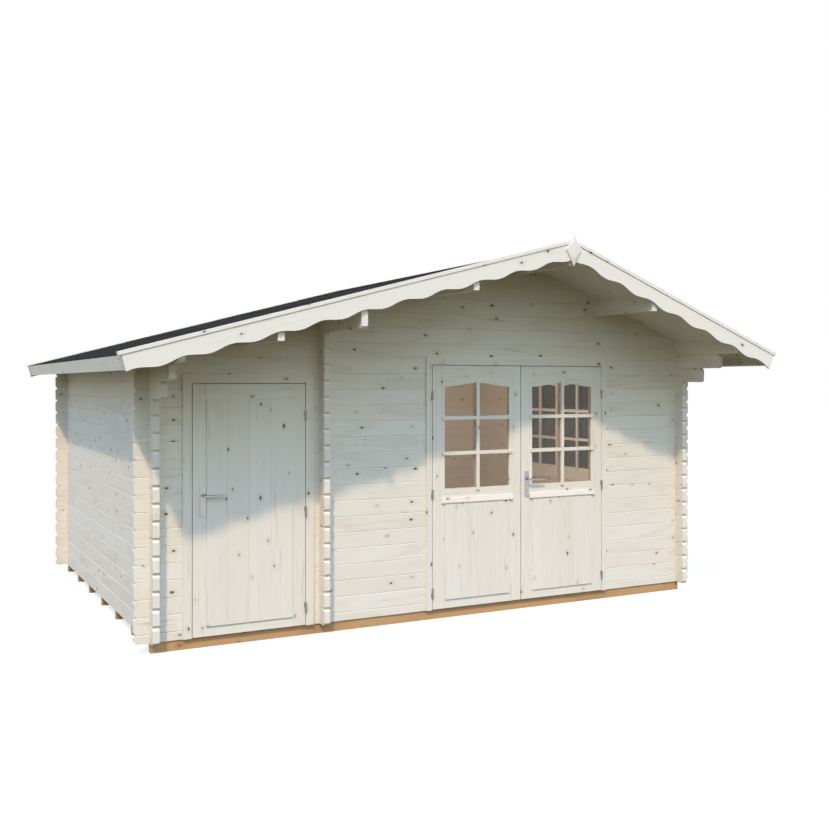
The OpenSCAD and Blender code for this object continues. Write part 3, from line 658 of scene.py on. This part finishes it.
def roof_boards(side):
    """Tongued boards down the slope, with V grooves on the underside."""
    name = "roof_deck_" + side
    low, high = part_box(name)
    pitch = ROOF_PITCH[side]
    sign = 1 if side == "left" else -1
    verts = [v.co for v in nodes[name].data.vertices]
    bottom = min(verts, key=lambda c: c.z)
    eave_x = bottom.x
    up = Vector((sign * math.cos(pitch), 0, math.sin(pitch)))
    out = Vector((-sign * math.sin(pitch), 0, math.cos(pitch)))
    start = Vector((eave_x, 0, bottom.z))
    thick = max((c - start).dot(out) for c in verts)
    length0 = max((c - start).dot(up) for c in verts if (c - start).dot(out) < thick / 2)
    length1 = max((c - start).dot(up) for c in verts if (c - start).dot(out) > thick / 2)
    boards = Boards(name + "_boards", roof_wood, "roof_boards", "cabin", (name,))
    joints = steps(low.y + ROOF_BOARD_PITCH, high.y - LEAST_BOARD, ROOF_BOARD_PITCH)
    edges = [low.y] + joints + [high.y]
    for y0, y1 in zip(edges, edges[1:]):
        section = [(y0 + GROOVE, 0.0), (y1 - GROOVE, 0.0), (y1, GROOVE), (y1, thick),
                   (y0, thick), (y0, GROOVE)]
        board = bmesh.new()
        near, far = [], []
        for y, w in section:
            reach = length0 + (length1 - length0) * w / thick
            near.append(board.verts.new(start + Y * y + out * w))
            far.append(board.verts.new(start + Y * y + out * w + up * reach))
        board.faces.new(near)
        board.faces.new(far[::-1])
        count = len(section)
        for k in range(count):
            after = (k + 1) % count
            board.faces.new([near[k], far[k], far[after], near[after]])
        bmesh.ops.recalc_face_normals(board, faces=board.faces[:])
        boards.add(board, up, Y, 0)
    boards.finish()


roof_boards("left")
roof_boards("right")


def roof_felt():
    """Strips of felt along the roof, each lapping the one below it, with the two slopes meeting at the
    ridge.
    """
    low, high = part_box("roof_felt")
    verts = [v.co for v in nodes["roof_felt"].data.vertices]
    peak = max(verts, key=lambda c: c.z).copy()
    piece_mesh = bmesh.new()
    thick = FELT_THICK
    for side, sign in (("left", 1), ("right", -1)):
        pitch = ROOF_PITCH[side]
        up = Vector((sign * math.cos(pitch), 0, math.sin(pitch)))
        out = Vector((-sign * math.sin(pitch), 0, math.cos(pitch)))
        eave = min((c for c in verts if (c.x - peak.x) * sign < -0.5), key=lambda c: c.z)
        start = Vector((eave.x, 0, eave.z))
        total = (Vector((peak.x, 0, peak.z)) - start).dot(up)
        place = 0.0
        top = []
        while place < total:
            after = min(place + FELT_STRIP, total)
            rise = 0.0 if place == 0 else FELT_LAP
            top.append((place, thick + rise))
            top.append((after, thick))
            place = after
        bend = math.tan((ROOF_PITCH["left"] + ROOF_PITCH["right"]) / 2)
        top[-1] = (total, thick)
        outline = [(0.0, 0.0)] + top + [(total - thick * bend, 0.0)]
        near = [piece_mesh.verts.new(start + up * u + out * w + Y * low.y) for u, w in outline]
        far = [piece_mesh.verts.new(start + up * u + out * w + Y * high.y) for u, w in outline]
        piece_mesh.faces.new(near)
        piece_mesh.faces.new(far[::-1])
        count = len(outline)
        for k in range(count):
            after = (k + 1) % count
            piece_mesh.faces.new([near[k], far[k], far[after], near[after]])
    bmesh.ops.recalc_face_normals(piece_mesh, faces=piece_mesh.faces[:])
    mesh = bpy.data.meshes.new("roof_felt_strips")
    piece_mesh.to_mesh(mesh)
    piece_mesh.free()
    piece = bpy.data.objects.new("roof_felt_strips", mesh)
    scene.collection.objects.link(piece)
    mesh.materials.append(felt)
    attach(piece, "cabin")
    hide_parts("roof_felt")


roof_felt()


# ---------------------------------------------------------------- ridge diamond

def ridge_diamond():
    """A diamond whose face rises to an upright ridge in its middle."""
    low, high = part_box("ridge_diamond")
    middle = (low + high) / 2
    share = 0.55
    rim_y = low.y + (high.y - low.y) * share
    board = bmesh.new()
    rim = [(middle.x, high.z), (low.x, middle.z), (middle.x, low.z), (high.x, middle.z)]
    back = [board.verts.new((x, high.y, z)) for x, z in rim]
    front = [board.verts.new((x, rim_y, z)) for x, z in rim]
    crest = [board.verts.new((middle.x, low.y, middle.z + s * share * (high.z - middle.z)))
             for s in (1, -1)]
    for k in range(4):
        after = (k + 1) % 4
        board.faces.new([back[k], back[after], front[after], front[k]])
    board.faces.new(back[::-1])
    board.faces.new([front[0], front[1], crest[0]])
    board.faces.new([crest[0], front[1], crest[1]])
    board.faces.new([crest[1], front[1], front[2]])
    board.faces.new([front[2], front[3], crest[1]])
    board.faces.new([crest[1], front[3], crest[0]])
    board.faces.new([crest[0], front[3], front[0]])
    bmesh.ops.recalc_face_normals(board, faces=board.faces[:])
    boards = Boards("ridge_diamond_carved", joinery, "trim_wood", "cabin", ("ridge_diamond",))
    boards.add(board, Z, X, 0)
    boards.finish()


ridge_diamond()


# ---------------------------------------------------------------- floor

def floor_boards():
    """Tongued floor boards that run from the front to the back."""
    low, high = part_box("floor_boards")
    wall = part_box("partition_wall")
    frames = [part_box("store_door_frame"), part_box("room_door_frame")]
    boards = Boards("floor_planks", floor_wood, "floor_wood", "cabin", ("floor_boards",))
    front_y = frames[0][1].y
    for x0, x1 in ((low.x, wall[0].x), (wall[1].x, high.x)):
        cuts = steps(x0 + FLOOR_BOARD_PITCH, x1 - LEAST_BOARD, FLOOR_BOARD_PITCH)
        planks(boards, Vector((x0, front_y, low.z)), Vector((x1, high.y, high.z)), cuts, Y, X,
               groove=FLOOR_GROOVE)
        sides = [x0] + [x for f in frames if x0 < f[0].x < x1 for x in (f[0].x, f[1].x)] + [x1]
        for a, b in zip(sides[::2], sides[1::2]):
            boards.box((Vector((a, low.y, low.z)), Vector((b, front_y, high.z))), X, Y)
    boards.finish()


floor_boards()


# ---------------------------------------------------------------- handles

def tube(mesh, path, radii, sides=16, squash=1.0):
    """A tube of rings along a path, closed by a flat face at each end."""
    rings = []
    count = len(path)
    for k, (point, radius) in enumerate(zip(path, radii)):
        ahead = (path[min(k + 1, count - 1)] - path[max(k - 1, 0)]).normalized()
        flat = Z.cross(ahead).normalized() if abs(ahead.z) < 0.9 else X
        upright = ahead.cross(flat).normalized()
        ring = []
        for s in range(sides):
            angle = 2 * math.pi * s / sides
            offset = flat * math.cos(angle) * radius * squash + upright * math.sin(angle) * radius
            ring.append(mesh.verts.new(point + offset))
        rings.append(ring)
    for near, far in zip(rings, rings[1:]):
        for s in range(sides):
            after = (s + 1) % sides
            mesh.faces.new([near[s], near[after], far[after], far[s]])
    mesh.faces.new(rings[0][::-1])
    mesh.faces.new(rings[-1])


def metal_piece(name, mesh, body, made, replaced=(), smooth=True):
    bmesh.ops.recalc_face_normals(mesh, faces=mesh.faces[:])
    data = bpy.data.meshes.new(name)
    mesh.to_mesh(data)
    mesh.free()
    for face in data.polygons:
        face.use_smooth = smooth
    piece = bpy.data.objects.new(name, data)
    scene.collection.objects.link(piece)
    data.materials.append(made)
    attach(piece, body)
    if replaced:
        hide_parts(*replaced)
    return piece


def lock(name, lever_name, body):
    """A brass lock cylinder in the outer plate, under the lever's axis."""
    low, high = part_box(name)
    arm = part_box(lever_name)
    middle = Vector(((low.x + high.x) / 2, low.y, (arm[0].z + arm[1].z) / 2 - LOCK_DOWN))
    mesh = bmesh.new()
    path = [middle + Y * place for place in (LOCK_SUNK, 0.0, -LOCK_PROUD)]
    tube(mesh, path, (LOCK_RADIUS, LOCK_RADIUS, LOCK_RADIUS - LOCK_PROUD), sides=32)
    metal_piece(name + "_cylinder", mesh, body, lock_brass, smooth=False)


def lever(name, body):
    """A bent lever outside and one inside: a round neck that bends into a round arm with a tapered
    tip.
    """
    low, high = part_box(name)
    axis = Vector((low.x + LEVER_RADIUS, 0, (low.z + high.z) / 2))
    reach = high.x - axis.x
    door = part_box("store_door")
    mesh = bmesh.new()
    bend = LEVER_BEND
    for face, out_y, sign in ((door[0].y, low.y + LEVER_RADIUS, -1),
                              (door[1].y, high.y - LEVER_RADIUS, 1)):
        path = [Vector((axis.x, face + sign * LEVER_SEAT, axis.z)),
                Vector((axis.x, out_y - sign * bend, axis.z))]
        radii = [NECK_RADIUS, NECK_RADIUS]
        for k in range(1, 7):
            angle = math.pi / 2 * k / 6
            path.append(Vector((axis.x + bend * (1 - math.cos(angle)),
                                out_y - sign * bend * (1 - math.sin(angle)), axis.z)))
            radii.append(NECK_RADIUS + (ARM_RADIUS - NECK_RADIUS) * k / 6)
        for k in range(1, 6):
            path.append(Vector((axis.x + bend + (reach - bend) * k / 6, out_y, axis.z)))
            radii.append(ARM_RADIUS - 0.0002 * k)
        for share, radius in ((0.97, 0.0066), (0.99, 0.005), (1.0, 0.0025)):
            path.append(Vector((axis.x + reach * share, out_y, axis.z)))
            radii.append(radius)
        tube(mesh, path, radii)
    metal_piece(name + "_lever", mesh, body, lever_steel, (name,))


lever("store_handle", "store_handle_turn")
lever("room_handle", "room_handle_turn")
lock("store_handle_plates", "store_handle", "store_door_leaf")
lock("room_handle_plates", "room_handle", "room_door_right_leaf")


# ---------------------------------------------------------------- floor, light and camera

def stage_floor():
    """A wide floor: white to the camera but for the cabin's shadow, dim to other light."""
    mesh = bpy.data.meshes.new("stage_floor")
    size = FLOOR_REACH
    mesh.from_pydata([(-size, -size, 0), (size, -size, 0), (size, size, 0), (-size, size, 0)],
                     [], [(0, 1, 2, 3)])
    floor = bpy.data.objects.new("stage_floor", mesh)
    scene.collection.objects.link(floor)
    made = bpy.data.materials.new("stage_floor")
    made.use_nodes = True
    tree = made.node_tree
    tree.nodes.clear()
    rays = make(tree, "ShaderNodeLightPath").outputs
    m = Maths(tree)
    seen = m.maximum(rays["Is Camera Ray"],
                     m.maximum(rays["Is Glossy Ray"], rays["Is Transmission Ray"]))
    lit = make(tree, "ShaderNodeBsdfDiffuse", {"Color": FLOOR_LIT}).outputs[0]
    glow = make(tree, "ShaderNodeEmission", {"Color": (1, 1, 1, 1), "Strength": FLOOR_GLOW}).outputs[0]
    bright = make(tree, "ShaderNodeAddShader", {0: lit, 1: glow}).outputs[0]
    dim = make(tree, "ShaderNodeBsdfDiffuse", {"Color": FLOOR_DIM}).outputs[0]
    both = make(tree, "ShaderNodeMixShader", {0: seen, 1: dim, 2: bright}).outputs[0]
    make(tree, "ShaderNodeOutputMaterial", {"Surface": both})
    mesh.materials.append(made)


def world_light():
    """Soft sky light, with a white background for the camera, metal and glass."""
    world = bpy.data.worlds.new("sky")
    world.use_nodes = True
    scene.world = world
    tree = world.node_tree
    tree.nodes.clear()
    m = Maths(tree)
    rays = make(tree, "ShaderNodeLightPath").outputs
    seen = m.maximum(rays["Is Camera Ray"],
                     m.maximum(rays["Is Glossy Ray"], rays["Is Transmission Ray"]))
    ways = make(tree, "ShaderNodeTexCoord").outputs["Generated"]
    height = m.maximum(m.split(ways)[2], 0.0)
    toward = make(tree, "ShaderNodeVectorMath", {0: ways, 1: FRONT_WAY},
                  operation="DOT_PRODUCT").outputs["Value"]
    front = make(tree, "ShaderNodeVectorMath",
                 {0: FRONT_HIGH[:3], "Scale": m.multiply(height, m.maximum(toward, 0.0))},
                 operation="SCALE").outputs["Vector"]
    glow = make(tree, "ShaderNodeVectorMath", {0: m.mix(height, SKY_LOW, SKY_HIGH), 1: front},
                operation="ADD").outputs["Vector"]
    sky = make(tree, "ShaderNodeBackground", {"Color": glow})
    white = make(tree, "ShaderNodeBackground", {"Color": (1, 1, 1, 1), "Strength": 1.0})
    both = make(tree, "ShaderNodeMixShader", {0: seen, 1: sky.outputs[0], 2: white.outputs[0]})
    make(tree, "ShaderNodeOutputWorld", {"Surface": both.outputs[0]})


def room_lamp(name, place, power, color):
    """A soft lamp in the main room that shows in no reflection and through no glass."""
    lamp = bpy.data.lights.new(name, "POINT")
    lamp.energy = power
    lamp.color = color
    lamp.shadow_soft_size = LAMP_SIZE
    holder = bpy.data.objects.new(name, lamp)
    holder.location = place
    for kind in ("camera", "glossy", "transmission"):
        setattr(holder, "visible_" + kind, False)
    scene.collection.objects.link(holder)


def lights():
    sun = bpy.data.lights.new("sun", "SUN")
    sun.energy = SUN_STRENGTH
    sun.color = SUN_COLOR
    sun.angle = SUN_SIZE
    holder = bpy.data.objects.new("sun", sun)
    holder.rotation_euler = SUN_PATH.to_track_quat("-Z", "Y").to_euler()
    scene.collection.objects.link(holder)
    low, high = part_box("floor_boards")
    middle = (low.y + high.y) / 2
    room_lamp("room_lamp", (high.x - 1.6, middle, 1.7), LAMP_POWER, LAMP_COLOR)
    room_lamp("window_lamp", (high.x - 0.75, middle - 0.5, 1.35), WINDOW_LAMP_POWER,
              WINDOW_LAMP_COLOR)


def camera():
    data = bpy.data.cameras.new("camera")
    data.lens = CAMERA_LENS
    data.sensor_width = 36.0
    data.shift_x, data.shift_y = CAMERA_SHIFT
    holder = bpy.data.objects.new("camera", data)
    holder.location = CAMERA_PLACE
    holder.rotation_euler = (math.pi / 2, 0, CAMERA_TURN)
    scene.collection.objects.link(holder)
    scene.camera = holder


stage_floor()
world_light()
lights()
camera()
scene.view_settings.view_transform = "Standard"
